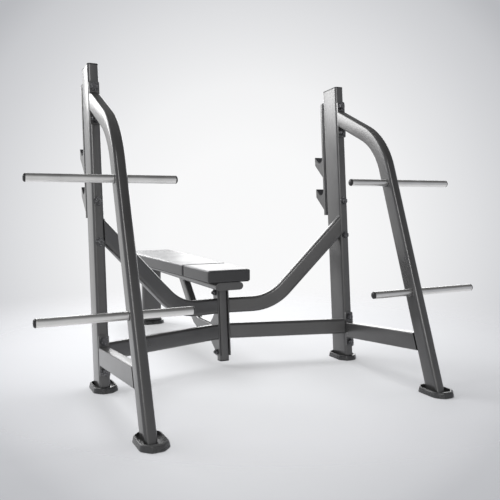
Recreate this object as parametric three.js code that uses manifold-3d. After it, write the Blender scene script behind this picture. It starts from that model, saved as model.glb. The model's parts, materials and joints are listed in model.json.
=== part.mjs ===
// Olympic bench press: a fixed bench with two leaning bar uprights, four plate
// storage horns and a tapered two-section pad. Millimetres, +Z up. The origin is
// at the bottom centre of the whole object, +X runs across the rack to the
// lifter's side and +Y runs from the rack towards the seat end of the bench.
import * as THREE from 'three';
import { mergeVertices } from 'three/addons/utils/BufferGeometryUtils.js';
import Module from 'manifold-3d';

const wasm = await Module();
wasm.setup();

// ---------------------------------------------------------------- driving sizes
const GAP = 0.3;                       // clearance between touching pieces
const LEAN = THREE.MathUtils.degToRad(5); // rack leans towards the bench
const FLOOR = 9;                       // height of the floor in the layout below

const WIDE = 46;                       // width of uprights, crossbeams and posts
const BIG = 120;                       // depth of the upright tube
const SMALL = 73;                      // depth of side and cross tubes
const WALL = 3;
const CORNER = 12;                     // outer corner radius of the upright tube
const CROSS_CORNER = 15;
const SIDE_CORNER = 5;
const LEG = { wide: 44, deep: 72, corner: 13 };

const RACK_HALF = 607;                 // centre of the rack to upright centre
const UPRIGHT_TOP = 1352;              // length of the upright along its lean
const CAP_THICK = 5;

const LEG_TOP_Q = 1199;                // leg centreline on the upright's rear face
const LEG_KNEE = [-369, 1028];         // corner of the leg centreline (p, q)
const LEG_SHOE = [-662, -58];          // where the centreline meets the floor
const LEG_RADIUS = 300;
const SIDE_TUBE_Q = 153;

const FLANGE_THICK = 8;
const FLANGE_WIDE = 42;
const WELD = 0.5;                      // how far a welded tube sinks into its flange
const LEG_BOLTS_Q = [1259, 1128];
const SIDE_BOLTS_Q = [217, 92];
const MID_BOLTS_Q = [791, 622];
const BOLT_SHANK = 8;                  // radius of the M16 shank
const BOLT_LENGTH = 30;

const HORN_RADIUS = 15;
const HORN_Q = [839, 360];
const HORN_OUT = 329;                  // from the leg centre to the outer end
const HORN_IN = 216;                   // from the leg centre to the inner end

const FOOT = { width: 103, length: 156, floor: 8, chamfer: 30, round: 10 };
const FOOT_SEAT = { width: 84, length: 126, chamfer: 21, round: 5 };
const SEAT_AHEAD = 5;                  // rack feet reach further back than their seats
// Height and inset of each level of a foot's outside, from the floor to its rim.
const FOOT_PROFILE = [[0, 1.5], [2, 0], [17, 3], [20.5, 4], [22, 6]];
const FOOT_IN = 5;                     // rack feet stand this far inside the tubes
const UPRIGHT_FOOT_BACK = 4;
const REAR_FOOT_BACK = 9;

const HOOK_PITCH = 166;
const UPPER_HOOK_Q = 1004;             // lowest point of the upper bar rest
const RAIL = { bottom: 730, top: 1298, backing: 10, thick: 14 };
const LINER = 4;
const SEAT_RADIUS = 20;                 // corners of the notch under its liner
const SEAT_FLAT = 8;

const BEAM_V = 150;                    // how far the centre stands ahead of the uprights
const CROSS_FRONT = -BIG / 2;          // crossbeam front faces are flush with the uprights
const UPPER_BEAM_Q = 306;              // level stretch of the upper crossbeam
const UPPER_BEAM_START_Q = 664;
const UPPER_BEAM_RADIUS = 230;
const LOWER_BEAM_Z = 173;

const PLATE_THICK = 6;
const POST_DEPTH = 52;
const POST_BOTTOM_Z = 38;

const BENCH_BEAM = { width: 140, height: 36, start: 44, end: 1335, top: 416 };
const FAR_POST_Y = 1260;
const BRACE = { wide: 40, deep: 60, level: 165, cornerY: 446, radius: 150 };

const PAD = { top: 475, head: 40, seam: 350, seat: 1335, gap: 6, headHalf: 107, taper: 0.0385 };
const BOARD_THICK = 12;
const BOARD_REVEAL = 4;                // board showing below the cushion

// -------------------------------------------------------------------- materials
const finish = (color, roughness, metalness) =>
  new THREE.MeshStandardMaterial({ color, roughness, metalness });
const frameCoat = finish(0x4a4b4e, 0.42, 0.35);
const satinSteel = finish(0xb4b5b8, 0.34, 0.9);
const blackPlastic = finish(0x1d1e20, 0.5, 0);
const footRubber = finish(0x303133, 0.55, 0);
const boltBlack = finish(0x2b2c2e, 0.45, 0.7);
const padVinyl = finish(0x3d3e40, 0.5, 0);
const boardPaint = finish(0x202123, 0.7, 0);

// ------------------------------------------------------------------ solid tools
function toSolid(geometry) {
  const bare = geometry.clone();
  bare.deleteAttribute('normal');
  bare.deleteAttribute('uv');
  const merged = mergeVertices(bare, 1e-3);
  return new wasm.Manifold(new wasm.Mesh({
    numProp: 3,
    vertProperties: new Float32Array(merged.attributes.position.array),
    triVerts: new Uint32Array(merged.index.array),
  }));
}

function toGeometry(solid) {
  const mesh = solid.getMesh();
  const geometry = new THREE.BufferGeometry();
  geometry.setAttribute('position', new THREE.BufferAttribute(mesh.vertProperties, 3));
  geometry.setIndex(new THREE.BufferAttribute(mesh.triVerts, 1));
  geometry.computeVertexNormals();
  return geometry;
}

function cut(geometry, ...tools) {
  return toGeometry(tools.reduce((solid, tool) => solid.subtract(toSolid(tool)), toSolid(geometry)));
}

function join(geometry, ...others) {
  return toGeometry(others.reduce((solid, other) => solid.add(toSolid(other)), toSolid(geometry)));
}

function box(x0, x1, y0, y1, z0, z1) {
  const geometry = new THREE.BoxGeometry(x1 - x0, y1 - y0, z1 - z0);
  return geometry.translate((x0 + x1) / 2, (y0 + y1) / 2, (z0 + z1) / 2);
}

function rod(radius, length, axis, segments = 20) {
  const geometry = new THREE.CylinderGeometry(radius, radius, length, segments);
  if (axis === 'x') geometry.rotateZ(Math.PI / 2);
  if (axis === 'z') geometry.rotateX(Math.PI / 2);
  return geometry;
}

// Rounded rectangle centred on the origin.
function roundedRect(path, width, height, radius) {
  const x = width / 2 - radius;
  const y = height / 2 - radius;
  path.absarc(x, y, radius, 0, Math.PI / 2);
  path.absarc(-x, y, radius, Math.PI / 2, Math.PI);
  path.absarc(-x, -y, radius, Math.PI, Math.PI * 1.5);
  path.absarc(x, -y, radius, Math.PI * 1.5, Math.PI * 2);
  path.closePath();
  return path;
}

function tubeSection(width, height, radius = CORNER) {
  const shape = roundedRect(new THREE.Shape(), width, height, radius);
  shape.holes.push(roundedRect(new THREE.Path(), width - 2 * WALL, height - 2 * WALL, radius - WALL));
  return shape;
}

function solidSection(width, height, radius = CORNER) {
  return roundedRect(new THREE.Shape(), width, height, radius);
}

function polygon(points) {
  return new THREE.Shape(points.map(([x, y]) => new THREE.Vector2(x, y)));
}

function extrude(shape, depth, curveSegments = 3) {
  return new THREE.ExtrudeGeometry(shape, { depth, bevelEnabled: false, curveSegments });
}

// Straight tube between two points. The section's y side faces `up`.
function straightTube(shape, from, to, up) {
  const start = new THREE.Vector3(...from);
  const along = new THREE.Vector3(...to).sub(start);
  const depth = along.length();
  along.normalize();
  const across = new THREE.Vector3(...up).cross(along).normalize();
  const upright = new THREE.Vector3().crossVectors(along, across);
  const basis = new THREE.Matrix4().makeBasis(across, upright, along).setPosition(start);
  return extrude(shape, depth).applyMatrix4(basis);
}

// Flat shape drawn in (y, z) and given a thickness from x0 to x1.
function slab(shape, x0, x1, curveSegments = 3) {
  const basis = new THREE.Matrix4().makeBasis(
    new THREE.Vector3(0, 1, 0), new THREE.Vector3(0, 0, 1), new THREE.Vector3(1, 0, 0));
  return extrude(shape, x1 - x0, curveSegments).applyMatrix4(basis).translate(x0, 0, 0);
}

// Centreline of a tube bent once: straight, circular arc, straight.
class BentLine extends THREE.Curve {
  constructor(from, corner, to, radius, arcSteps) {
    super();
    this.from = new THREE.Vector3(...from);
    this.to = new THREE.Vector3(...to);
    const bend = new THREE.Vector3(...corner);
    this.dirIn = bend.clone().sub(this.from).normalize();
    this.dirOut = this.to.clone().sub(bend).normalize();
    this.angle = this.dirIn.angleTo(this.dirOut);
    this.radius = radius;
    const tangent = radius * Math.tan(this.angle / 2);
    this.arcStart = bend.clone().addScaledVector(this.dirIn, -tangent);
    this.inward = this.dirOut.clone()
      .addScaledVector(this.dirIn, -Math.cos(this.angle)).normalize();
    this.arcEnd = bend.clone().addScaledVector(this.dirOut, tangent);
    this.steps = arcSteps + 2;
  }

  arcTurn(t) {
    return THREE.MathUtils.clamp((t * this.steps - 1) / (this.steps - 2), 0, 1) * this.angle;
  }

  getPoint(t, target = new THREE.Vector3()) {
    const step = t * this.steps;
    if (step <= 1) return target.lerpVectors(this.from, this.arcStart, step);
    if (step >= this.steps - 1) {
      return target.lerpVectors(this.arcEnd, this.to, step - this.steps + 1);
    }
    const turn = this.arcTurn(t);
    return target.copy(this.arcStart)
      .addScaledVector(this.dirIn, this.radius * Math.sin(turn))
      .addScaledVector(this.inward, this.radius * (1 - Math.cos(turn)));
  }

  getPointAt(u, target) {
    return this.getPoint(u, target);
  }

  getTangentAt(u, target = new THREE.Vector3()) {
    const turn = this.arcTurn(u);
    return target.copy(this.dirIn).multiplyScalar(Math.cos(turn))
      .addScaledVector(this.inward, Math.sin(turn));
  }
}

function bentTube(shape, from, corner, to, radius, arcSteps) {
  const extrudePath = new BentLine(from, corner, to, radius, arcSteps);
  return new THREE.ExtrudeGeometry(shape, { extrudePath, steps: extrudePath.steps, curveSegments: 3 });
}

// ------------------------------------------------------------------- the groups
// `bench` is upright in the world; `rack` is turned by the lean about the line
// where the upright axes meet the floor. Its coordinates are (x, p, q).
const bench = new THREE.Group();
const rack = new THREE.Group();
rack.rotation.x = -LEAN;
bench.add(rack);

function add(parent, name, geometry, material, at = [0, 0, 0]) {
  const mesh = new THREE.Mesh(geometry, material);
  mesh.name = name;
  mesh.position.set(...at);
  parent.add(mesh);
  return mesh;
}

const sides = [['left', -1], ['right', 1]];
const rackToY = (p, q) => p * Math.cos(LEAN) + q * Math.sin(LEAN);
const rackToZ = (p, q) => -p * Math.sin(LEAN) + q * Math.cos(LEAN);
const zToQ = (z, p) => (z + p * Math.sin(LEAN)) / Math.cos(LEAN);

// Everything below a level plane at height z, in rack coordinates.
function underLevel(z, p) {
  const reach = 300;
  const block = box(-reach, reach, -reach, reach, -reach, 0).rotateX(LEAN);
  return block.translate(0, p, zToQ(z, p));
}

// --------------------------------------------------------------------- uprights
const footSeat = FLOOR + FOOT.floor + GAP;
const holeRadius = BOLT_SHANK + GAP;

function upright() {
  const tube = extrude(tubeSection(WIDE, BIG), UPRIGHT_TOP + 20).translate(0, 0, -20);
  const holes = [...LEG_BOLTS_Q, ...MID_BOLTS_Q, ...SIDE_BOLTS_Q].map((q) =>
    rod(holeRadius, 20, 'y', 12).translate(0, -BIG / 2, q));
  return cut(tube, underLevel(footSeat, 0), ...holes);
}

function uprightCap() {
  const head = extrude(solidSection(WIDE, BIG), CAP_THICK);
  const plug = extrude(solidSection(WIDE - 2 * WALL - 1, BIG - 2 * WALL - 1, CORNER - WALL), 15);
  return join(head, plug.translate(0, 0, -14));
}

function flange(boltsQ) {
  const [top, bottom] = boltsQ;
  const height = top - bottom + 46;
  const shape = solidSection(FLANGE_WIDE, height, 8);
  return extrude(shape, FLANGE_THICK).rotateX(Math.PI / 2)
    .translate(0, -BIG / 2 - GAP, (top + bottom) / 2);
}

function flangeHoles(boltsQ) {
  return boltsQ.map((q) => rod(holeRadius, 30, 'y', 12).translate(0, -BIG / 2, q));
}

// ----------------------------------------------------- rear legs and side tubes
const legP = (q) => LEG_KNEE[0] + (LEG_SHOE[0] - LEG_KNEE[0]) * (q - LEG_KNEE[1])
  / (LEG_SHOE[1] - LEG_KNEE[1]);
const flangeRear = -BIG / 2 - GAP - FLANGE_THICK;

function legTube(shape) {
  const start = [0, -BIG / 2 + 40, LEG_TOP_Q + 22];
  return bentTube(shape, start, [0, ...LEG_KNEE], [0, legP(-80), -80], LEG_RADIUS, 12);
}

function rearLeg() {
  const inFront = box(-100, 100, flangeRear + WELD, 200, 900, 1500);
  const horns = HORN_Q.map((q) =>
    rod(HORN_RADIUS + GAP, 100, 'x').translate(0, legP(q), q));
  const tube = cut(legTube(tubeSection(LEG.wide, LEG.deep, LEG.corner)), inFront,
    underLevel(footSeat, legP(0)), ...horns);
  const seated = cut(flange(LEG_BOLTS_Q), ...flangeHoles(LEG_BOLTS_Q));
  return join(tube, seated);
}

// The side tube ends square on the flat of the leg, clear of the leg's round corners.
function sideTube() {
  const tube = straightTube(tubeSection(LEG.wide, SMALL, SIDE_CORNER),
    [0, flangeRear + WELD, SIDE_TUBE_Q], [0, legP(SIDE_TUBE_Q), SIDE_TUBE_Q], [0, 0, 1]);
  const seated = cut(flange(SIDE_BOLTS_Q), ...flangeHoles(SIDE_BOLTS_Q));
  const leg = legTube(solidSection(LEG.wide + 2 * GAP, LEG.deep + 2 * GAP, 1));
  return join(cut(tube, leg), seated);
}

// Flanged hexagon bolt; the underside of its washer is at y = 0, head towards -y.
function bolt() {
  const washer = rod(19, 3, 'y', 20).translate(0, -1.5, 0);
  const head = rod(14, 11, 'y', 6).translate(0, -8, 0);
  const dome = rod(10, 3, 'y', 12).translate(0, -14, 0);
  const shank = rod(BOLT_SHANK, BOLT_LENGTH + 2, 'y', 12).translate(0, BOLT_LENGTH / 2 - 1, 0);
  return join(washer, head, dome, shank);
}

// ------------------------------------------------------------------ plate horns
function hornTube(length) {
  const bore = HORN_RADIUS - WALL;
  const half = length / 2;
  const profile = [[bore, -half], [HORN_RADIUS, -half], [HORN_RADIUS, half], [bore, half], [bore, -half]];
  return new THREE.LatheGeometry(profile.map(([r, y]) => new THREE.Vector2(r, y)), 24)
    .rotateZ(-Math.PI / 2);
}

// Push-in cap; its rim bears on the tube end at x = 0 and it points towards +x.
function hornCap() {
  const plug = HORN_RADIUS - WALL - GAP;
  const profile = [[0, -14], [plug, -14], [plug, 0], [HORN_RADIUS, 0], [HORN_RADIUS, 3],
    [HORN_RADIUS - 2, 5.5], [HORN_RADIUS - 5, 7.4], [0, 7.4]];
  return new THREE.LatheGeometry(profile.map(([r, y]) => new THREE.Vector2(r, y)), 16)
    .rotateZ(-Math.PI / 2);
}

// ------------------------------------------------------------------------- feet
function octagon(width, length, chamfer, round) {
  const x = width / 2;
  const y = length / 2;
  const corners = [[x - chamfer, -y], [x, -y + chamfer], [x, y - chamfer], [x - chamfer, y],
    [-x + chamfer, y], [-x, y - chamfer], [-x, -y + chamfer], [-x + chamfer, -y]]
    .map(([px, py]) => new THREE.Vector2(px, py));
  const shape = new THREE.Shape();
  corners.forEach((corner, i) => {
    const before = corners.at(i - 1).clone().sub(corner).setLength(round).add(corner);
    const after = corners[(i + 1) % 8].clone().sub(corner).setLength(round).add(corner);
    if (i === 0) shape.moveTo(before.x, before.y);
    else shape.lineTo(before.x, before.y);
    shape.quadraticCurveTo(corner.x, corner.y, after.x, after.y);
  });
  shape.closePath();
  return shape;
}

// Solid of the shape whose levels follow the foot's profile.
function footBody(shape, width, length) {
  const steps = FOOT_PROFILE.length - 1;
  const geometry = new THREE.ExtrudeGeometry(shape, {
    depth: 1, steps, bevelEnabled: false, curveSegments: 3 });
  const position = geometry.attributes.position;
  for (let i = 0; i < position.count; i++) {
    const [height, inset] = FOOT_PROFILE[Math.round(position.getZ(i) * steps)];
    position.setX(i, position.getX(i) * (1 - 2 * inset / width));
    position.setY(i, position.getY(i) * (1 - 2 * inset / length));
    position.setZ(i, height);
  }
  return geometry;
}

// Cup foot: a drafted octagon with a sunken seat for the tube, `ahead` of its middle.
function foot(ahead) {
  const { width, length, floor, chamfer, round } = FOOT;
  const outer = footBody(octagon(width, length, chamfer, round), width, length);
  const seat = octagon(FOOT_SEAT.width, FOOT_SEAT.length, FOOT_SEAT.chamfer, FOOT_SEAT.round);
  return cut(outer, extrude(seat, 40).translate(0, ahead, floor));
}

// ------------------------------------------------------------------- bar hooks
const railFront = BIG / 2 + 2 * GAP + RAIL.backing + RAIL.thick;

// Notch of a bar rest, drawn from the rail to the tip: a round back corner, a
// narrow flat that the bar sits on, a round front corner and a ramp to the tip.
const seatHeight = UPPER_HOOK_Q - LINER;
const seatBack = railFront + 24 - SEAT_FLAT / 2;

function notchPoints(inset) {
  const radius = SEAT_RADIUS - inset;
  const level = seatHeight + SEAT_RADIUS;
  const front = [seatBack + SEAT_FLAT, level];
  const tip = [railFront + 69, UPPER_HOOK_Q + 29];
  const toTip = Math.atan2(tip[1] - front[1], tip[0] - front[0]);
  const reach = Math.hypot(tip[0] - front[0], tip[1] - front[1]);
  const rampStart = toTip - Math.acos(radius / reach);
  const arc = (x, from, to, steps) => Array.from({ length: steps + 1 }, (_, i) => {
    const a = from + (to - from) * i / steps;
    return [x + radius * Math.cos(a), level + radius * Math.sin(a)];
  });
  const points = [...arc(seatBack, -Math.PI, -Math.PI / 2, 4), ...arc(front[0], -Math.PI / 2, rampStart, 3)];
  return { points, tip };
}

function hook(drop) {
  const { points, tip } = notchPoints(0);
  const back = railFront - 5;
  const outline = [[back, UPPER_HOOK_Q - 80], [railFront, UPPER_HOOK_Q - 80],
    [tip[0], UPPER_HOOK_Q - 10], tip, ...points.reverse(), [back, points.at(-1)[1]]];
  return slab(polygon(outline), -WIDE / 2, WIDE / 2).translate(0, 0, -drop);
}

function hookRail() {
  const back = BIG / 2 + 2 * GAP + RAIL.backing;
  const rail = box(-WIDE / 2, WIDE / 2, back, railFront, RAIL.bottom, RAIL.top);
  return join(rail, hook(0), hook(HOOK_PITCH));
}

function hookLiner() {
  const { points, tip } = notchPoints(GAP);
  const inner = notchPoints(LINER).points;
  const lip = [tip[0] - 2, tip[1] + LINER * 0.8];
  const outline = [...points, [tip[0] - 1, tip[1] + 0.2], lip, ...inner.reverse()];
  return slab(polygon(outline), -WIDE / 2, WIDE / 2);
}

function railBacking() {
  const front = BIG / 2 + GAP + RAIL.backing;
  return box(-WIDE / 2 + 2, WIDE / 2 - 2, BIG / 2 + GAP, front, RAIL.bottom + 2, RAIL.top + 4);
}

// ------------------------------------------------------------------- crossbeams
const beamSpan = RACK_HALF - WIDE / 2 - WIDE / 2 - PLATE_THICK;
const beamTurn = Math.atan2(BEAM_V, beamSpan);
const beamLength = Math.hypot(beamSpan, BEAM_V);

// Trim a crossbeam half between the upright's inner face and the centre plate.
function trimHalf(geometry, side) {
  const plateFace = WIDE / 2 + PLATE_THICK + 2 * GAP;
  const uprightFace = RACK_HALF - WIDE / 2 - GAP;
  const centre = box(-plateFace, plateFace, -400, 400, -100, 1200);
  const ends = side < 0
    ? box(-uprightFace - 200, -uprightFace, -400, 400, -100, 1200)
    : box(uprightFace, uprightFace + 200, -400, 400, -100, 1200);
  return cut(geometry, centre, ends);
}

function upperCrossbeam(side) {
  const drop = UPPER_BEAM_START_Q - UPPER_BEAM_Q;
  const over = 45;
  const geometry = bentTube(tubeSection(WIDE, SMALL, CROSS_CORNER),
    [side * over, 0, UPPER_BEAM_START_Q + over], [-side * drop, 0, UPPER_BEAM_Q],
    [-side * (beamLength + 10), 0, UPPER_BEAM_Q], UPPER_BEAM_RADIUS, 8);
  geometry.rotateZ(-side * beamTurn);
  geometry.translate(side * (RACK_HALF - WIDE / 2), CROSS_FRONT + WIDE / 2, 0);
  return trimHalf(geometry, side);
}

function lowerCrossbeam(side) {
  const over = 10;
  const p0 = CROSS_FRONT + WIDE / 2;
  const rise = BEAM_V / beamSpan;
  const from = [side * (RACK_HALF - WIDE / 2 + over), p0 - over * rise];
  const to = [side * (WIDE / 2 + PLATE_THICK - over), p0 + BEAM_V + over * rise];
  const geometry = straightTube(tubeSection(WIDE, SMALL, CROSS_CORNER),
    [...from, zToQ(LOWER_BEAM_Z, from[1])], [...to, zToQ(LOWER_BEAM_Z, to[1])], [0, 0, 1]);
  return trimHalf(geometry, side);
}

// ------------------------------------------------------- centre plates and post
const postFront = CROSS_FRONT + BEAM_V;
const postCentre = postFront + POST_DEPTH / 2;
const postBottom = zToQ(POST_BOTTOM_Z, postCentre);

function centrePlate() {
  const outline = polygon([[postFront, 68], [postFront + 47, 68], [postFront + 50, 90],
    [postFront + 98, 130], [postFront + 98, 224], [postFront + 50, 262],
    [postFront + 50, 386], [postFront, 386]]);
  const holes = PLATE_BOLTS_Q.map((q) =>
    rod(holeRadius, 60, 'x', 12).translate(0, postCentre, q));
  return cut(slab(outline, 0, PLATE_THICK), ...holes);
}

const PLATE_BOLTS_Q = [369, 87];

function beamEnvelope(grow) {
  const { width, height, start, end, top } = BENCH_BEAM;
  const shape = roundedRect(new THREE.Shape(), width + 2 * grow, height + 2 * grow, height / 2 + grow);
  return extrude(shape, end - start, 4).rotateX(Math.PI / 2).translate(0, end, top - height / 2);
}

function aboveBeamFloor() {
  const floor = BENCH_BEAM.top - BENCH_BEAM.height - GAP;
  return box(-200, 200, -500, 2000, floor, floor + 300);
}

function centrePost() {
  const tube = extrude(tubeSection(WIDE, POST_DEPTH), 440)
    .translate(0, postCentre, postBottom).rotateX(-LEAN);
  const boltTools = PLATE_BOLTS_Q.map((q) =>
    rod(holeRadius, 60, 'x', 12).translate(0, postCentre, q).rotateX(-LEAN));
  return cut(tube, aboveBeamFloor(), ...boltTools);
}

function postCap() {
  const head = extrude(solidSection(WIDE, POST_DEPTH), 5).translate(0, 0, -5 - GAP);
  const plug = extrude(solidSection(WIDE - 2 * WALL - 1, POST_DEPTH - 2 * WALL - 1, CORNER - WALL), 14);
  return join(head, plug.translate(0, 0, -1));
}

// ------------------------------------------------------------------- bench beam
function benchBeam() {
  const { width, height, start, end, top } = BENCH_BEAM;
  const shape = roundedRect(new THREE.Shape(), width, height, height / 2);
  shape.holes.push(roundedRect(new THREE.Path(), width - 2 * WALL, height - 2 * WALL,
    height / 2 - WALL));
  const tube = extrude(shape, end - start, 4);
  const plate = extrude(roundedRect(new THREE.Shape(), width, height, height / 2), WALL, 4);
  return join(tube, plate.translate(0, 0, end - start - WALL))
    .rotateX(Math.PI / 2).translate(0, end, top - height / 2);
}

function farPost() {
  const tube = extrude(tubeSection(BIG, WIDE), BENCH_BEAM.top - 10 - footSeat)
    .translate(0, FAR_POST_Y, footSeat);
  return cut(tube, beamEnvelope(GAP));
}

function brace() {
  const { wide, deep, level, cornerY, radius } = BRACE;
  const post = box(-40, 40, 0, postFront + POST_DEPTH + GAP, 0, 460).rotateX(-LEAN);
  const rise = BENCH_BEAM.top - BENCH_BEAM.height / 2 + 10 - level;
  const tube = bentTube(tubeSection(wide, deep),
    [0, cornerY + rise, level + rise], [0, cornerY, level], [0, postCentre, level], radius, 8);
  return cut(tube, post, aboveBeamFloor());
}

// ------------------------------------------------------------------------- pads
const padHalf = (y) => PAD.headHalf + (y - PAD.head) * PAD.taper;

// Tapered outline between two stations, with its own corner radius at each end.
function padOutline(y0, y1, inset, r0, r1) {
  const a = padHalf(y0) - inset;
  const b = padHalf(y1) - inset;
  const s = new THREE.Shape();
  s.moveTo(-a + r0, y0 + inset);
  s.lineTo(a - r0, y0 + inset);
  s.quadraticCurveTo(a, y0 + inset, a, y0 + inset + r0);
  s.lineTo(b, y1 - inset - r1);
  s.quadraticCurveTo(b, y1 - inset, b - r1, y1 - inset);
  s.lineTo(-b + r1, y1 - inset);
  s.quadraticCurveTo(-b, y1 - inset, -b, y1 - inset - r1);
  s.lineTo(-a, y0 + inset + r0);
  s.quadraticCurveTo(-a, y0 + inset, -a + r0, y0 + inset);
  return s;
}

function board(y0, y1, r0, r1) {
  return extrude(padOutline(y0, y1, 6, r0, r1), BOARD_THICK, 4)
    .translate(0, 0, BENCH_BEAM.top + GAP);
}

function cushion(y0, y1, r0, r1) {
  const bottom = BENCH_BEAM.top + BOARD_REVEAL;
  const foam = extrude(padOutline(y0, y1, 0, r0, r1), PAD.top - bottom, 4).translate(0, 0, bottom);
  const pocket = extrude(padOutline(y0, y1, 6 - 2 * GAP, r0, r1), BOARD_THICK + GAP, 4)
    .translate(0, 0, BENCH_BEAM.top + GAP);
  return cut(foam, pocket);
}

// --------------------------------------------------------------------- assembly
const frontFace = -BIG / 2;
for (const [word, side] of sides) {
  const frame = new THREE.Group();
  frame.position.x = side * RACK_HALF;
  rack.add(frame);

  add(frame, `upright_${word}`, upright(), frameCoat);
  add(frame, `upright_cap_${word}`, uprightCap(), blackPlastic, [0, 0, UPRIGHT_TOP + GAP]);
  add(frame, `rear_leg_${word}`, rearLeg(), frameCoat);
  add(frame, `side_tube_${word}`, sideTube(), frameCoat);

  const boltRows = [['leg', LEG_BOLTS_Q, FLANGE_THICK + GAP], ['mid', MID_BOLTS_Q, 0],
    ['side', SIDE_BOLTS_Q, FLANGE_THICK + GAP]];
  for (const [row, heights, stand] of boltRows) {
    heights.forEach((q, i) => {
      const at = [0, frontFace - stand - GAP, q];
      add(frame, `${row}_bolt_${['upper', 'lower'][i]}_${word}`, bolt(), boltBlack, at);
    });
  }

  add(frame, `hook_rail_${word}`, hookRail(), frameCoat);
  add(frame, `rail_backing_${word}`, railBacking(), blackPlastic);
  add(frame, `hook_liner_upper_${word}`, hookLiner(), blackPlastic);
  add(frame, `hook_liner_lower_${word}`, hookLiner(), blackPlastic, [0, 0, -HOOK_PITCH]);

  HORN_Q.forEach((q, i) => {
    const level = ['upper', 'lower'][i];
    const length = HORN_OUT + HORN_IN - 15;
    const middle = side * (HORN_OUT - HORN_IN) / 2;
    add(frame, `horn_${level}_${word}`, hornTube(length), satinSteel, [middle, legP(q), q]);
    for (const [end, way] of [['outer', side], ['inner', -side]]) {
      const at = [middle + way * (length / 2 + GAP), legP(q), q];
      const cap = add(frame, `horn_cap_${level}_${end}_${word}`, hornCap(), blackPlastic, at);
      if (way < 0) cap.rotation.z = Math.PI;
    }
  });

  add(rack, `upper_crossbeam_${word}`, upperCrossbeam(side), frameCoat);
  add(rack, `lower_crossbeam_${word}`, lowerCrossbeam(side), frameCoat);
  const plateX = side < 0 ? -WIDE / 2 - PLATE_THICK - GAP : WIDE / 2 + GAP;
  add(rack, `centre_plate_${word}`, centrePlate(), frameCoat, [plateX, 0, 0]);

  const footX = side * (RACK_HALF - FOOT_IN);
  add(bench, `upright_foot_${word}`, foot(SEAT_AHEAD), footRubber, [footX, -UPRIGHT_FOOT_BACK, FLOOR]);
  const shoeY = rackToY(legP(zToQ(footSeat, LEG_SHOE[0])), zToQ(footSeat, LEG_SHOE[0]));
  add(bench, `rear_foot_${word}`, foot(SEAT_AHEAD), footRubber, [footX, shoeY - REAR_FOOT_BACK, FLOOR]);
}

add(bench, 'centre_post', centrePost(), frameCoat);
add(rack, 'centre_post_cap', postCap(), blackPlastic, [0, postCentre, postBottom]);
add(bench, 'bench_beam', benchBeam(), frameCoat);
add(bench, 'bench_post', farPost(), frameCoat);
add(bench, 'bench_brace', brace(), frameCoat);
const benchFoot = add(bench, 'bench_foot', foot(0), footRubber, [0, FAR_POST_Y, FLOOR]);
benchFoot.rotation.z = Math.PI / 2;

add(bench, 'head_board', board(PAD.head, PAD.seam - PAD.gap / 2, 4, 6), boardPaint);
add(bench, 'seat_board', board(PAD.seam + PAD.gap / 2, PAD.seat, 6, 34), boardPaint);
add(bench, 'head_pad', cushion(PAD.head, PAD.seam - PAD.gap / 2, 4, 6), padVinyl);
add(bench, 'seat_pad', cushion(PAD.seam + PAD.gap / 2, PAD.seat, 6, 34), padVinyl);

// Put the origin at the bottom centre of the whole object.
bench.updateMatrixWorld(true);
const bounds = new THREE.Box3().setFromObject(bench, true);
const middle = bounds.getCenter(new THREE.Vector3());
bench.position.set(-middle.x, -middle.y, -bounds.min.z);
bench.updateMatrixWorld(true);

export default bench;
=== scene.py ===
import json
import math

import bpy
import numpy as np
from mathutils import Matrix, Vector
from mathutils.bvhtree import BVHTree


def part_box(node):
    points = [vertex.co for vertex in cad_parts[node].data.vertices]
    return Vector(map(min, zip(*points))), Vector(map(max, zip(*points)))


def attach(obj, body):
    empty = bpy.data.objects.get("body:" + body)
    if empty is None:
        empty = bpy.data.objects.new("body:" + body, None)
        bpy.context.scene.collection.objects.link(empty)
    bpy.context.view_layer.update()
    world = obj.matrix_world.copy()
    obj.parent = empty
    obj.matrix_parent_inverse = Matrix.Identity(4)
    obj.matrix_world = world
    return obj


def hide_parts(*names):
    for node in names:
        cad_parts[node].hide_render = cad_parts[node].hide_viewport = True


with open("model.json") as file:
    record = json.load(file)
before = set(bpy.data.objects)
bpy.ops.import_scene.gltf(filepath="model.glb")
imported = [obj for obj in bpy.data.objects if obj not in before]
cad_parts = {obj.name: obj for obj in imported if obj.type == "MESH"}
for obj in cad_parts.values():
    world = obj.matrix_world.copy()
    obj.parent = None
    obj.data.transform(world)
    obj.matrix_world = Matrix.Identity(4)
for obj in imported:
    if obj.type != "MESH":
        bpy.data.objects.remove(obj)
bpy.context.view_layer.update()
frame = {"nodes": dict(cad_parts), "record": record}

scene = bpy.context.scene
nodes = frame["nodes"]


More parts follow.
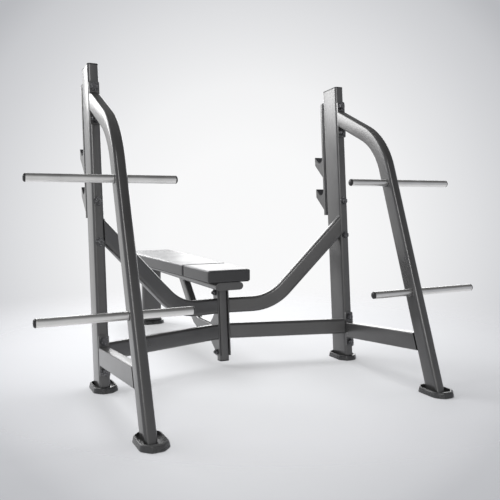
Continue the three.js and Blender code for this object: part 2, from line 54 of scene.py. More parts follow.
# ------------------------------------------------------------------ node helpers
class Graph:
    """A material's node tree with short calls for making and joining nodes."""

    def __init__(self, name):
        self.material = bpy.data.materials.new(name)
        self.material.use_nodes = True
        self.tree = self.material.node_tree
        self.shader = self.tree.nodes["Principled BSDF"]
        coordinates = self.tree.nodes.new("ShaderNodeTexCoord")
        self.place = coordinates.outputs["Object"]

    def node(self, kind, **settings):
        made = self.tree.nodes.new(kind)
        for key, value in settings.items():
            setattr(made, key, value)
        return made

    def join(self, source, target):
        self.tree.links.new(source, target)

    def stretch(self, factors):
        mapping = self.node("ShaderNodeMapping")
        mapping.inputs["Scale"].default_value = factors
        self.join(self.place, mapping.inputs["Vector"])
        return mapping.outputs["Vector"]

    def noise(self, scale, detail=3.0, roughness=0.5, vector=None, distortion=0.0):
        made = self.node("ShaderNodeTexNoise")
        made.inputs["Scale"].default_value = scale
        made.inputs["Detail"].default_value = detail
        made.inputs["Roughness"].default_value = roughness
        made.inputs["Distortion"].default_value = distortion
        self.join(vector or self.place, made.inputs["Vector"])
        return made.outputs["Fac"]

    def cells(self, scale, feature="F1", vector=None):
        made = self.node("ShaderNodeTexVoronoi", feature=feature)
        made.inputs["Scale"].default_value = scale
        self.join(vector or self.place, made.inputs["Vector"])
        return made.outputs["Distance"]

    def remap(self, value, low, high, to_low, to_high):
        made = self.node("ShaderNodeMapRange")
        limits = {"From Min": low, "From Max": high, "To Min": to_low, "To Max": to_high}
        for key, number in limits.items():
            made.inputs[key].default_value = number
        self.join(value, made.inputs["Value"])
        return made.outputs["Result"]

    def math(self, operation, a, b):
        made = self.node("ShaderNodeMath", operation=operation)
        for socket, value in zip(made.inputs, (a, b)):
            if isinstance(value, (int, float)):
                socket.default_value = value
            else:
                self.join(value, socket)
        return made.outputs["Value"]

    def mix(self, factor, a, b):
        made = self.node("ShaderNodeMix", data_type="RGBA")
        colours = [s for s in made.inputs if s.type == "RGBA"]
        self.join(factor, made.inputs["Factor"])
        for socket, value in zip(colours, (a, b)):
            if isinstance(value, tuple):
                socket.default_value = (*value, 1.0)
            else:
                self.join(value, socket)
        return next(s for s in made.outputs if s.type == "RGBA")

    def bump(self, height, strength, distance, under=None):
        made = self.node("ShaderNodeBump")
        made.inputs["Strength"].default_value = strength
        made.inputs["Distance"].default_value = distance
        self.join(height, made.inputs["Height"])
        if under is not None:
            self.join(under, made.inputs["Normal"])
        return made.outputs["Normal"]

    def set(self, **values):
        for key, value in values.items():
            socket = self.shader.inputs[key.replace("_", " ")]
            if isinstance(value, bpy.types.NodeSocket):
                self.join(value, socket)
            elif isinstance(value, tuple):
                socket.default_value = (*value, 1.0)
            else:
                socket.default_value = value
        return self.material


# --------------------------------------------------------------------- materials
def powder_coat():
    """Charcoal powder coat: orange peel, fine metallic fleck, faint cloudiness and scuffs."""
    g = Graph("powder_coat")
    peel = g.noise(420, 2.0)
    cloud = g.noise(6, 3.0)
    fleck = g.cells(1500)
    scuff = g.noise(55, 5.0, 0.7, g.stretch((1.0, 1.0, 0.25)))
    base = g.mix(g.remap(cloud, 0.3, 0.7, 0, 1), (0.112, 0.111, 0.111), (0.135, 0.134, 0.134))
    spark = g.mix(g.remap(fleck, 0.0, 0.3, 1, 0), base, (0.17, 0.17, 0.17))
    rubbed = g.mix(g.remap(scuff, 0.66, 0.76, 0, 0.5), spark, (0.17, 0.17, 0.17))
    rough = g.math("ADD", g.remap(cloud, 0.3, 0.7, 0.27, 0.34), g.remap(scuff, 0.62, 0.76, 0, 0.1))
    return g.set(Base_Color=rubbed, Metallic=0.7, Roughness=rough, Coat_Weight=0.4,
                 Coat_Roughness=0.18, Normal=g.bump(peel, 0.05, 0.0003))


def satin_steel():
    """Plated rod: turning marks round it and long scratches from the plates."""
    g = Graph("satin_steel")
    rings = g.noise(260, 3.0, 0.6, g.stretch((6.0, 0.15, 0.15)))
    scratch = g.noise(420, 4.0, 0.7, g.stretch((0.03, 1.0, 1.0)))
    cloud = g.noise(14, 3.0)
    base = g.mix(g.remap(cloud, 0.3, 0.7, 0, 1), (0.80, 0.795, 0.785), (0.88, 0.875, 0.865))
    worn = g.mix(g.remap(scratch, 0.60, 0.74, 0, 0.5), base, (0.58, 0.575, 0.565))
    rough = g.math("ADD", g.remap(rings, 0.3, 0.7, 0.26, 0.36), g.remap(cloud, 0.3, 0.7, 0, 0.06))
    return g.set(Base_Color=worn, Metallic=1.0, Roughness=rough,
                 Normal=g.bump(rings, 0.12, 0.0002, g.bump(scratch, 0.10, 0.0002)))


def moulded_plastic(name, dark, light, rough):
    """Moulded plastic with a fine spark-eroded grain and faint flow marks."""
    g = Graph(name)
    grain = g.noise(900, 3.0, 0.6)
    flow = g.noise(18, 4.0, 0.6, distortion=1.2)
    base = g.mix(g.remap(flow, 0.3, 0.7, 0, 1), dark, light)
    shine = g.math("ADD", g.remap(flow, 0.3, 0.7, rough, rough + 0.08),
                   g.remap(grain, 0.3, 0.7, 0, 0.08))
    return g.set(Base_Color=base, Roughness=shine, Normal=g.bump(grain, 0.22, 0.0003))


def foot_rubber():
    """Dense rubber with a speckled skin and dust settled in patches."""
    g = Graph("foot_rubber")
    grain = g.noise(700, 4.0, 0.65)
    pits = g.cells(260)
    dust = g.noise(24, 5.0, 0.65)
    base = g.mix(g.remap(dust, 0.35, 0.75, 0, 1), (0.042, 0.042, 0.043), (0.066, 0.066, 0.067))
    rough = g.remap(dust, 0.3, 0.7, 0.22, 0.34)
    skin = g.bump(pits, 0.12, 0.0003)
    return g.set(Base_Color=base, Roughness=rough, Normal=g.bump(grain, 0.3, 0.0003, skin))


def black_oxide():
    """Blackened bolt steel with pale patches painted into its colour as glints: painted highlights.
    """
    g = Graph("black_oxide")
    cloud = g.noise(220, 4.0, 0.7)
    grain = g.noise(1400, 2.0)
    # Painted highlights: the pale patches stand in for glints on the bolts, not wear.
    base = g.mix(g.remap(cloud, 0.5, 0.64, 0, 1), (0.09, 0.09, 0.094), (0.40, 0.40, 0.41))
    return g.set(Base_Color=base, Metallic=0.85, Roughness=g.remap(cloud, 0.3, 0.7, 0.18, 0.28),
                 Normal=g.bump(grain, 0.15, 0.0002))


def weld_metal():
    """The same coat over a bead, a little darker and rougher."""
    g = Graph("weld_coat")
    ripple = g.noise(500, 3.0)
    base = g.mix(g.remap(ripple, 0.3, 0.7, 0, 1), (0.095, 0.095, 0.096), (0.125, 0.125, 0.126))
    return g.set(Base_Color=base, Metallic=0.7, Roughness=g.remap(ripple, 0.3, 0.7, 0.3, 0.42),
                 Coat_Weight=0.3, Coat_Roughness=0.25, Normal=g.bump(ripple, 0.3, 0.0004))


def pad_vinyl():
    """Upholstery vinyl: pebbled leather grain, creases with painted shade darkening them, and a
    slight polish where it is used.
    """
    g = Graph("pad_vinyl")
    pebble = g.cells(620, "SMOOTH_F1")
    crease = g.cells(250, "DISTANCE_TO_EDGE", g.stretch((1.0, 0.8, 1.0)))
    cloud = g.noise(9, 4.0, 0.6)
    fine = g.noise(1200, 2.0)
    tone = g.mix(g.remap(cloud, 0.3, 0.7, 0, 1), (0.036, 0.036, 0.038), (0.048, 0.048, 0.050))
    # Painted shade: the colour is darkened along the creases.
    base = g.mix(g.remap(crease, 0.0, 0.06, 0.35, 0), tone, (0.024, 0.024, 0.026))
    rough = g.math("ADD", g.remap(cloud, 0.3, 0.7, 0.27, 0.35), g.remap(fine, 0.3, 0.7, 0, 0.05))
    relief = g.bump(g.remap(crease, 0.0, 0.08, 0, 1), 0.12, 0.0004, g.bump(pebble, 0.14, 0.0004))
    return g.set(Base_Color=base, Roughness=rough, Coat_Weight=0.15, Coat_Roughness=0.32,
                 Normal=g.bump(fine, 0.08, 0.0002, relief))


def stitch_thread():
    g = Graph("stitch_thread")
    twist = g.node("ShaderNodeTexWave", bands_direction="DIAGONAL")
    twist.inputs["Scale"].default_value = 900
    g.join(g.place, twist.inputs["Vector"])
    base = g.mix(twist.outputs["Fac"], (0.02, 0.02, 0.022), (0.06, 0.06, 0.063))
    return g.set(Base_Color=base, Roughness=0.6, Sheen_Weight=0.3,
                 Normal=g.bump(twist.outputs["Fac"], 0.4, 0.0003))


def board_paint():
    """Black paint brushed thinly over plywood: its grain telegraphs through and its edges rub."""
    g = Graph("board_paint")
    grain = g.noise(60, 6.0, 0.65, g.stretch((1.0, 0.06, 1.0)), distortion=0.6)
    rub = g.noise(90, 4.0, 0.7)
    paint = g.mix(g.remap(grain, 0.3, 0.7, 0, 1), (0.014, 0.014, 0.015), (0.026, 0.025, 0.025))
    base = g.mix(g.remap(rub, 0.66, 0.78, 0, 0.5), paint, (0.10, 0.075, 0.05))
    return g.set(Base_Color=base, Roughness=g.remap(grain, 0.3, 0.7, 0.5, 0.7),
                 Normal=g.bump(grain, 0.3, 0.0005))


FINISH = {
    "frame_coat": powder_coat(),
    "horn_steel": satin_steel(),
    "black_plastic": moulded_plastic("black_plastic", (0.013, 0.013, 0.014),
                                     (0.022, 0.022, 0.024), 0.34),
    "foot_rubber": foot_rubber(),
    "bolt_black": black_oxide(),
    "pad_vinyl": pad_vinyl(),
    "board_paint": board_paint(),
}
SLOT_OF = {entry["node"]: entry["material_slot"] for entry in frame["record"]["subparts"]}


def smooth_normals(obj, limit=math.radians(40)):
    """Shades a faceted node as the round shape it stands for. Only its corner normals are set."""
    mesh = obj.data
    count = len(mesh.polygons)
    corners = np.zeros(len(mesh.loops), np.int64)
    mesh.loops.foreach_get("vertex_index", corners)
    places = np.zeros(len(mesh.vertices) * 3)
    mesh.vertices.foreach_get("co", places)
    points = places.reshape(-1, 3)[corners]
    triangles = points.reshape(count, 3, 3)
    area = np.cross(triangles[:, 1] - triangles[:, 0], triangles[:, 2] - triangles[:, 0])
    unit = area / np.maximum(np.linalg.norm(area, axis=1, keepdims=True), 1e-15)
    shared = {}
    keys = [tuple(k) for k in np.round(points * 1e5).astype(np.int64)]
    for i, key in enumerate(keys):
        shared.setdefault(key, []).append(i)
    angle = np.zeros(len(points))
    for k in range(3):
        a = triangles[:, (k + 1) % 3] - triangles[:, k]
        b = triangles[:, (k + 2) % 3] - triangles[:, k]
        lengths = np.linalg.norm(a, axis=1) * np.linalg.norm(b, axis=1)
        cosine = (a * b).sum(1) / np.maximum(lengths, 1e-15)
        angle[k::3] = np.arccos(np.clip(cosine, -1, 1))
    least = math.cos(limit)
    normals = np.zeros_like(points)
    for members in shared.values():
        faces = np.array(members) // 3
        near = unit[faces] @ unit[faces].T >= least
        normals[members] = (near * angle[members][None, :]) @ unit[faces]
    normals /= np.maximum(np.linalg.norm(normals, axis=1, keepdims=True), 1e-15)
    mesh.shade_smooth()
    mesh.normals_split_custom_set([tuple(n) for n in normals])


for name, obj in nodes.items():
    for material_slot in obj.material_slots:
        material_slot.material = FINISH[SLOT_OF[name]]
    smooth_normals(obj)


# ------------------------------------------------------------------ mesh helpers
def new_object(name, vertices, faces, material, smooth=True):
    mesh = bpy.data.meshes.new(name)
    mesh.from_pydata([tuple(v) for v in vertices], [], [tuple(f) for f in faces])
    mesh.materials.append(material)
    if smooth:
        mesh.shade_smooth()
    obj = bpy.data.objects.new(name, mesh)
    scene.collection.objects.link(obj)
    return obj


def apply_modifiers(obj):
    graph = bpy.context.evaluated_depsgraph_get()
    baked = bpy.data.meshes.new_from_object(obj.evaluated_get(graph))
    obj.modifiers.clear()
    obj.data = baked
    return obj


def piece(obj):
    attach(obj, "root")
    return obj


def hull_2d(points):
    """Convex outline of flat points, anticlockwise."""
    ordered = sorted(set(map(tuple, np.round(points, 5))))

    def half(sequence):
        chain = []
        for p in sequence:
            while len(chain) > 1:
                last, before = chain[-1], chain[-2]
                if np.cross(np.subtract(last, before), np.subtract(p, before)) > 1e-12:
                    break
                chain.pop()
            chain.append(p)
        return chain[:-1]

    return np.array(half(ordered) + half(reversed(ordered)))


def evenly(points, spacing):
    """A closed loop resampled to about the given spacing."""
    closed = np.vstack([points, points[:1]])
    lengths = np.linalg.norm(np.diff(closed, axis=0), axis=1)
    along = np.concatenate([[0], np.cumsum(lengths)])
    count = max(12, int(round(along[-1] / spacing)))
    at = np.linspace(0, along[-1], count, endpoint=False)
    return np.stack([np.interp(at, along, closed[:, k]) for k in range(points.shape[1])], axis=1)


def ring_tube(loop, radii, sides=8):
    """Vertices and faces of a closed tube whose radius varies along its loop."""
    count = len(loop)
    vertices, faces = [], []
    ahead = np.roll(loop, -1, axis=0) - np.roll(loop, 1, axis=0)
    ahead /= np.linalg.norm(ahead, axis=1, keepdims=True)
    centre = loop.mean(0)
    for i in range(count):
        out = loop[i] - centre
        out -= ahead[i] * (out @ ahead[i])
        out /= max(np.linalg.norm(out), 1e-9)
        up = np.cross(ahead[i], out)
        for k in range(sides):
            a = 2 * math.pi * k / sides
            vertices.append(loop[i] + radii[i] * (math.cos(a) * out + math.sin(a) * up))
            j = (i + 1) % count
            m = (k + 1) % sides
            faces.append((i * sides + k, i * sides + m, j * sides + m, j * sides + k))
    return vertices, faces


# --------------------------------------------------------------------- the welds
BEAD = 0.0021           # radius of a bead
RIPPLE = 0.0034         # from ripple to ripple
HORN_ROOM = 0.0008      # from a horn's skin to the middle of the bead round it


def weld(name, loop):
    """A laid bead of overlapping ripples along a closed loop."""
    points = evenly(np.array(loop), RIPPLE / 3)
    phase = np.arange(len(points)) % 3
    radii = BEAD * np.choose(phase, [0.86, 1.0, 1.06])
    vertices, faces = ring_tube(points, radii)
    return piece(new_object(name, vertices, faces, WELD))


def end_outline(node, axis, value, tolerance=0.0006):
    """Outline of a node's flat end that faces along an axis of the frame."""
    points = np.array([v.co for v in nodes[node].data.vertices])
    flat = points[np.abs(points[:, axis] - value) < tolerance]
    others = [k for k in range(3) if k != axis]
    outline = hull_2d(flat[:, others])
    loop = np.zeros((len(outline), 3))
    loop[:, others] = outline
    loop[:, axis] = value
    return loop


WELD = weld_metal()
for side, word in ((-1, "left"), (1, "right")):
    for level in ("upper", "lower"):
        beam = f"{level}_crossbeam_{word}"
        low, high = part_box(beam)
        outer, inner = (low.x, high.x) if side < 0 else (high.x, low.x)
        weld(f"weld_{beam}_outer", end_outline(beam, 0, outer))
        weld(f"weld_{beam}_inner", end_outline(beam, 0, inner))
        low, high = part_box(f"horn_{level}_{word}")
        leg_low, leg_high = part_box(f"rear_leg_{word}")
        centre_y, centre_z = (low.y + high.y) / 2, (low.z + high.z) / 2
        radius = (high.z - low.z) / 2 + HORN_ROOM
        for face, x in (("a", leg_low.x), ("b", leg_high.x)):
            circle = [(x, centre_y + radius * math.cos(a), centre_z + radius * math.sin(a))
                      for a in np.linspace(0, 2 * math.pi, 48, endpoint=False)]
            weld(f"weld_horn_{level}_{face}_{word}", circle)
for node in ("centre_post", "bench_brace"):
    weld(f"weld_{node}_top", end_outline(node, 2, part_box(node)[1].z))


# --------------------------------------------------------------- the plate bolts
PLATE_BOLTS = ((-0.14712, 0.34849), (-0.17170, 0.06756))    # y and z of each
HEX = 0.0120                                                # from the nut's centre to a corner
WASHER = 0.0142                                             # the washer's radius


def turned(name, profile, sides, centre, way, hexagonal=()):
    """A closed solid of revolution about X whose rings are round or hexagonal."""
    vertices, faces = [], []
    for n, (radius, out) in enumerate(profile):
        for k in range(sides):
            a = 2 * math.pi * k / sides
            r = radius
            if n in hexagonal:
                off_flat = (a + math.pi / 6) % (math.pi / 3) - math.pi / 6
                r *= math.cos(math.pi / 6) / math.cos(off_flat)
            x, y, z = centre
            vertices.append((x + way * out, y + r * math.cos(a), z + r * math.sin(a)))
    for n in range(len(profile) - 1):
        for k in range(sides):
            m = (k + 1) % sides
            face = (n * sides + k, n * sides + m, (n + 1) * sides + m, (n + 1) * sides + k)
            faces.append(face if way > 0 else face[::-1])
    last = (len(profile) - 1) * sides
    ends = [tuple(range(sides))[::-1], tuple(range(last, last + sides))]
    faces += ends if way > 0 else [end[::-1] for end in ends]
    obj = new_object(name, vertices, faces, FINISH["bolt_black"], smooth=False)
    return piece(obj)


for number, (y, z) in enumerate(PLATE_BOLTS, 1):
    at = (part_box("centre_plate_left")[0].x, y, z)
    turned(f"plate_washer_{number}", [(WASHER - 0.0006, 0.0001), (WASHER, 0.0007),
           (WASHER, 0.0020), (WASHER - 0.0006, 0.0026)], 36, at, -1)
    turned(f"plate_nut_{number}", [(HEX, 0.0028), (HEX + 0.0002, 0.0036), (HEX + 0.0002, 0.0112),
           (HEX - 0.0012, 0.0128), (HEX - 0.0044, 0.0132)], 36, at, -1, hexagonal=(0, 1, 2, 3))
    turned(f"plate_bolt_tip_{number}", [(0.0070, 0.0134), (0.0070, 0.0168),
           (0.0058, 0.0182)], 36, at, -1)
    at = (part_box("centre_plate_right")[1].x, y, z)
    turned(f"plate_bolt_head_{number}", [(0.0130, 0.0001), (0.0132, 0.0008), (0.0120, 0.0024),
           (0.0094, 0.0036), (0.0060, 0.0042), (0.0050, 0.0030), (0.0020, 0.0028)], 36, at, 1)


# ---------------------------------------------------------------------- the pads
STEP = 0.0075           # side of the shell's quads
EDGE = 0.0035           # radius of the soft edges
INSET = 0.001           # room left inside the plain cushion's sides
CROWN_ROOM = 0.001      # and under its top
CAP = 0.0014            # the furthest that the foam may swell the cover
PUFF_FRAMES = 20        # frames of cloth under pressure
POCKET_GAP = 0.0008     # between the board and the foam round it
POCKET_ROOM = 0.0005    # and over its top
POCKET_FLOOR = 0.40     # a height just under the pads
STITCH_RADIUS = 0.00055

head_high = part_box("head_pad")[1]
seat_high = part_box("seat_pad")[1]
taper = (seat_high.x - head_high.x) / (seat_high.y - head_high.y)


def half_width(y):
    return head_high.x + (y - head_high.y) * taper


def round_plan(x, y, y0, y1, r0, r1):
    """Moves a point of the tapered plan so that the plan's corners are round."""
    r = r0 if y < (y0 + y1) / 2 else r1
    inner_x = half_width(y) - INSET - r
    inner_low, inner_high = y0 + r, y1 - r
    cx = max(-inner_x, min(inner_x, x))
    cy = max(inner_low, min(inner_high, y))
    dx, dy = x - cx, y - cy
    if abs(dx) < 1e-9 or abs(dy) < 1e-9:
        return x, y
    scale = max(abs(dx), abs(dy)) / math.hypot(dx, dy)
    return cx + dx * scale, cy + dy * scale


def pad_shell(name, low, high, r0, r1):
    """A closed box of even quads with a tapered round-cornered plan and soft edges."""
    y0, y1 = low.y + INSET, high.y - INSET
    z0, z1 = low.z, high.z - CROWN_ROOM
    nx = int(round(2 * high.x / STEP))
    ny = int(round((y1 - y0) / STEP))
    nz = int(round((z1 - z0) / STEP))
    index, vertices, faces = {}, [], []

    def vertex(i, j, k):
        if (i, j, k) in index:
            return index[i, j, k]
        y = y0 + (y1 - y0) * j / ny
        half = half_width(y) - INSET
        x = half * (2 * i / nx - 1)
        z = z0 + (z1 - z0) * k / nz
        x, y = round_plan(x, y, y0, y1, r0, r1)
        inner = [max(-half + EDGE, min(half - EDGE, x)), max(y0 + EDGE, min(y1 - EDGE, y)),
                 max(z0 + EDGE / 2, min(z1 - EDGE, z))]
        d = [x - inner[0], y - inner[1], z - inner[2]]
        flat = math.hypot(d[0], d[1])
        if k == nz and i in (0, nx) or k == nz and j in (0, ny):
            pull = 1 - EDGE * (1 - math.sqrt(0.5)) / max(flat, EDGE)
            x, y = inner[0] + d[0] * pull, inner[1] + d[1] * pull
            z = z1 - EDGE * (1 - math.sqrt(0.5))
        index[i, j, k] = len(vertices)
        vertices.append((x, y, z))
        return index[i, j, k]

    def quad(*places):
        faces.append([vertex(*place) for place in places])

    for i in range(nx):
        for j in range(ny):
            quad((i, j, nz), (i + 1, j, nz), (i + 1, j + 1, nz), (i, j + 1, nz))
            quad((i, j, 0), (i, j + 1, 0), (i + 1, j + 1, 0), (i + 1, j, 0))
    for k in range(nz):
        for i in range(nx):
            quad((i, 0, k), (i + 1, 0, k), (i + 1, 0, k + 1), (i, 0, k + 1))
            quad((i + 1, ny, k), (i, ny, k), (i, ny, k + 1), (i + 1, ny, k + 1))
        for j in range(ny):
            quad((0, j + 1, k), (0, j, k), (0, j, k + 1), (0, j + 1, k + 1))
            quad((nx, j, k), (nx, j + 1, k), (nx, j + 1, k + 1), (nx, j, k + 1))
    obj = new_object(name, vertices, faces, FINISH["pad_vinyl"])
    around = [(i, 0) for i in range(nx)] + [(nx, j) for j in range(ny)]
    around += [(i, ny) for i in range(nx, 0, -1)] + [(0, j) for j in range(ny, 0, -1)]
    rim = [index[i, j, nz - 1] for i, j in around]
    return obj, rim


def inflate(obj, bottom, rim):
    """Swells the shell as foam swells its cover: cloth under pressure, held at its base and seam."""
    before = np.array([v.co for v in obj.data.vertices])
    held = obj.vertex_groups.new(name="held")
    base = np.where(before[:, 2] < bottom + 0.001)[0]
    held.add([int(i) for i in base], 1.0, "REPLACE")
    held.add(rim, 1.0, "REPLACE")
    cloth = obj.modifiers.new("cloth", "CLOTH")
    settings = cloth.settings
    settings.quality = 6
    settings.mass = 0.3
    settings.tension_stiffness = 25
    settings.compression_stiffness = 25
    settings.shear_stiffness = 10
    settings.bending_stiffness = 2
    settings.use_pressure = True
    settings.uniform_pressure_force = 4
    settings.vertex_group_mass = "held"
    settings.effector_weights.gravity = 0
    cloth.point_cache.frame_start = 1
    cloth.point_cache.frame_end = PUFF_FRAMES
    for number in range(1, PUFF_FRAMES + 1):
        scene.frame_set(number)
    graph = bpy.context.evaluated_depsgraph_get()
    after = np.array([v.co for v in obj.evaluated_get(graph).data.vertices])
    obj.modifiers.clear()
    scene.frame_set(1)
    moved = after - before
    length = np.linalg.norm(moved, axis=1, keepdims=True)
    moved *= np.minimum(1, CAP / np.maximum(length, 1e-9))
    obj.data.vertices.foreach_set("co", (before + moved).ravel())
    obj.data.update()


def pocket(obj, board):
    """Cuts the board's seat out of the pad's underside."""
    points = np.array([v.co for v in nodes[board].data.vertices])
    outline = hull_2d(points[:, :2])
    centre = outline.mean(0)
    away = outline - centre
    outline = outline + POCKET_GAP * away / np.linalg.norm(away, axis=1, keepdims=True)
    top = points[:, 2].max() + POCKET_ROOM
    count = len(outline)
    vertices = [(*p, POCKET_FLOOR) for p in outline] + [(*p, top) for p in outline]
    faces = [tuple(range(count))[::-1], tuple(range(count, 2 * count))]
    faces += [(i, (i + 1) % count, count + (i + 1) % count, count + i) for i in range(count)]
    cutter = new_object("cutter", vertices, faces, FINISH["pad_vinyl"], smooth=False)
    cut = obj.modifiers.new("cut", "BOOLEAN")
    cut.object = cutter
    cut.operation = "DIFFERENCE"
    cut.solver = "EXACT"
    apply_modifiers(obj)
    bpy.data.objects.remove(cutter)


def stitched_seam(name, pad, loop):
    """A fine row of stitches lying on the pad along a loop of points."""
    graph = bpy.context.evaluated_depsgraph_get()
    tree = BVHTree.FromObject(pad, graph)
    points = evenly(loop, 0.001)
    stitch, gap, sides = 4, 2, 6
    vertices, faces = [], []
    for start in range(0, len(points) - stitch, stitch + gap):
        place = []
        for n in range(stitch + 1):
            at, normal, _, _ = tree.find_nearest(Vector(points[start + n - (n == stitch)]))
            lift = 0.0003 + 0.0003 * math.sin(math.pi * n / stitch)
            place.append((at + normal * lift, normal))
        for n in range(stitch):
            here, normal = place[n]
            ahead = (place[min(n + 1, stitch - 1)][0] - place[max(n - 1, 0)][0]).normalized()
            across = ahead.cross(normal).normalized()
            r = STITCH_RADIUS * (0.55 if n in (0, stitch - 1) else 1.0)
            for k in range(sides):
                a = 2 * math.pi * k / sides
                vertices.append(here + r * (math.cos(a) * across + math.sin(a) * normal))
        base = len(vertices) - stitch * sides
        for n in range(stitch - 1):
            for k in range(sides):
                m = (k + 1) % sides
                a, b = base + n * sides, base + (n + 1) * sides
                faces.append((a + k, b + k, b + m, a + m))
        faces.append(tuple(base + k for k in range(sides)))
        faces.append(tuple(base + (stitch - 1) * sides + k for k in range(sides))[::-1])
    return piece(new_object(name, vertices, faces, THREAD))


THREAD = stitch_thread()


def make_pad(word, r0, r1):
    low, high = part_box(f"{word}_pad")
    pad, rim = pad_shell(f"{word}_cushion", low, high, r0, r1)
    inflate(pad, low.z, rim)
    loop = np.array([pad.data.vertices[i].co for i in rim])
    swell = pad.modifiers.new("round", "SUBSURF")
    swell.levels = swell.render_levels = 1
    apply_modifiers(pad)
    pocket(pad, f"{word}_board")
    pad.data.shade_smooth()
    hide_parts(f"{word}_pad")
    piece(pad)
    stitched_seam(f"{word}_seam", pad, loop)


make_pad("head", 0.004, 0.006)
make_pad("seat", 0.006, 0.034)


# -------------------------------------------------------------------- the studio
STAGE = Vector((0.35, 0.1, 0.0))
FLOOR_FADE = (0.7, 2.6)                     # distances from the stage where it starts and ends
FLOOR_SHARE = 0.62                          # how solid the floor is before that
GLOW = Vector((0.4418, 0.8954, -0.0550))    # brightest direction of the room, behind the bench
# Angle from the glow in degrees, and how bright the room is there.
ROOM = ((0, 0.955), (8, 0.95), (13.5, 0.895), (20, 0.745), (23, 0.665), (25.6, 0.60), (28, 0.50),
        (34, 0.47), (90, 0.45))
# Direction, the closeness to it where a patch starts and is full, and its brightness.
PATCHES = (
    ((0, 0, 1), 0.31, 0.55, 0.12),               # dark ceiling
    ((0, 0, -1), 0.47, 0.62, 0.80),              # white floor
    ((-0.40, 0.91, -0.10), 0.914, 0.970, 0.90),  # bright wall on the left, behind the rack
    ((-0.30, -0.88, -0.36), 0.50, 0.85, 0.60),   # open floor in front of the rack
)


def studio_world():
    """A pale room, brightest behind the bench, with a dark ceiling and a white floor below."""
    world = bpy.data.worlds.new("studio")
    world.use_nodes = True
    tree = world.node_tree

    def made(kind, **settings):
        node = tree.nodes.new(kind)
        for key, value in settings.items():
            setattr(node, key, value)
        return node

    direction = made("ShaderNodeTexCoord").outputs["Generated"]

    def closeness(way):
        dot = made("ShaderNodeVectorMath", operation="DOT_PRODUCT")
        dot.inputs[1].default_value = Vector(way).normalized()
        tree.links.new(direction, dot.inputs[0])
        return dot.outputs["Value"]

    turn = made("ShaderNodeMath", operation="ARCCOSINE")
    tree.links.new(closeness(GLOW), turn.inputs[0])
    share = made("ShaderNodeMath", operation="MULTIPLY")
    share.inputs[1].default_value = 2 / math.pi
    tree.links.new(turn.outputs["Value"], share.inputs[0])
    ramp = made("ShaderNodeValToRGB")
    stops = ramp.color_ramp.elements
    while len(stops) < len(ROOM):
        stops.new(0.5)
    for stop, (degrees, level) in zip(stops, ROOM):
        stop.position = degrees / 90
    for stop, (degrees, level) in zip(stops, ROOM):
        cool = 0.03 * (1 - level)
        stop.color = (level * (1 - 2 * cool), level * (1 - cool), level * (1 + 2 * cool), 1.0)
    tree.links.new(share.outputs["Value"], ramp.inputs["Fac"])
    colour = ramp.outputs["Color"]
    for way, start, end, level in PATCHES:
        reach = made("ShaderNodeMapRange")
        reach.inputs["From Min"].default_value = start
        reach.inputs["From Max"].default_value = end
        tree.links.new(closeness(way), reach.inputs["Value"])
        mix = made("ShaderNodeMix", data_type="RGBA")
        colours = [s for s in mix.inputs if s.type == "RGBA"]
        tree.links.new(reach.outputs["Result"], mix.inputs["Factor"])
        tree.links.new(colour, colours[0])
        colours[1].default_value = (level, level, level, 1.0)
        colour = next(s for s in mix.outputs if s.type == "RGBA")
    tree.links.new(colour, tree.nodes["Background"].inputs["Color"])
    scene.world = world


def floor_material():
    """A pale matt floor that thins out into the room with distance, so no edge shows."""
    g = Graph("floor")
    position = g.node("ShaderNodeNewGeometry").outputs["Position"]
    reach = g.node("ShaderNodeVectorMath", operation="DISTANCE")
    g.join(position, reach.inputs[0])
    reach.inputs[1].default_value = STAGE
    mottle = g.mix(g.noise(1.3, 2.0), (0.56, 0.565, 0.585), (0.59, 0.595, 0.615))
    fade = g.remap(reach.outputs["Value"], *FLOOR_FADE, FLOOR_SHARE, 0.0)
    fade.node.interpolation_type = "SMOOTHSTEP"
    return g.set(Base_Color=mottle, Roughness=0.9, Specular_IOR_Level=0.1, Alpha=fade)


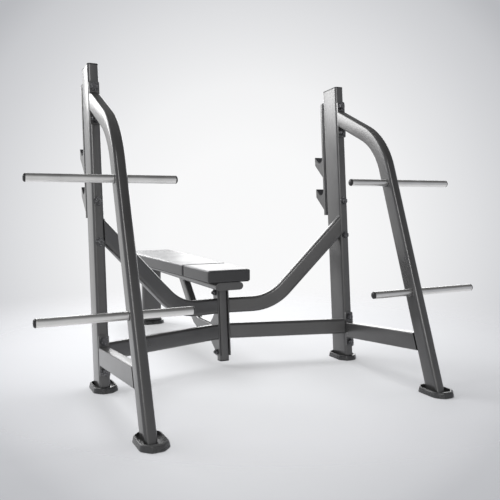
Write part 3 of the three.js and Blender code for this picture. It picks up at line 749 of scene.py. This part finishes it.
def stage_floor():
    rings = (0.0, 1.5, 3.0, 4.5, 6.0)
    around = 64
    vertices = [STAGE]
    for r in rings[1:]:
        for k in range(around):
            a = 2 * math.pi * k / around
            vertices.append(STAGE + Vector((r * math.cos(a), r * math.sin(a), 0.0)))
    faces = [(0, 1 + k, 1 + (k + 1) % around) for k in range(around)]
    for n in range(len(rings) - 2):
        a, b = 1 + n * around, 1 + (n + 1) * around
        for k in range(around):
            m = (k + 1) % around
            faces.append((a + k, b + k, b + m, a + m))
    new_object("floor", vertices, faces, floor_material())


def softbox(name, place, aim, width, height, power, shiny=True):
    data = bpy.data.lights.new(name, "AREA")
    data.shape = "RECTANGLE"
    data.size = width
    data.size_y = height
    data.energy = power
    obj = bpy.data.objects.new(name, data)
    obj.visible_glossy = shiny
    obj.visible_camera = False
    obj.location = place
    obj.rotation_euler = (Vector(aim) - Vector(place)).to_track_quat("-Z", "Y").to_euler()
    scene.collection.objects.link(obj)


studio_world()
stage_floor()
softbox("overhead", (0.3, 0.9, 3.6), (0.3, 0.9, 0.0), 2.2, 2.2, 158, shiny=False)
softbox("back_left", (-3.2, 4.4, 3.9), (-0.2, -0.3, 1.0), 3.2, 4.0, 270)
softbox("back_right", (4.3, 5.6, 2.0), (0.0, 0.2, 0.5), 5.0, 2.8, 125)
softbox("back_middle", (0.7, 5.6, 2.5), (0.0, 0.2, 0.5), 2.0, 1.7, 30)
softbox("back_low", (0.6, 5.6, 1.85), (-0.6, -0.4, 0.2), 0.9, 0.7, 13)
softbox("left", (-4.0, 0.6, 1.8), (0.0, 0.0, 0.8), 3.5, 2.6, 55, shiny=False)
softbox("front", (-2.3, -4.4, 3.1), (0.0, 0.0, 0.9), 0.9, 2.8, 52)
scene.view_settings.view_transform = "Standard"


# ---------------------------------------------------- the camera, as it was fitted
CAMERA_PLACE = (-1.1789, -2.8536, 0.7854)
CAMERA_DOWN = 4.541         # degrees under the horizon
CAMERA_RIGHT = 26.262       # degrees right of +Y

camera = bpy.data.cameras.new("camera")
camera.sensor_width = 36.0
camera.lens = 44.70
camera.clip_end = 60.0
camera_object = bpy.data.objects.new("camera", camera)
camera_object.location = CAMERA_PLACE
camera_object.rotation_euler = (math.radians(90 - CAMERA_DOWN), 0.0, math.radians(-CAMERA_RIGHT))
scene.collection.objects.link(camera_object)
scene.camera = camera_object
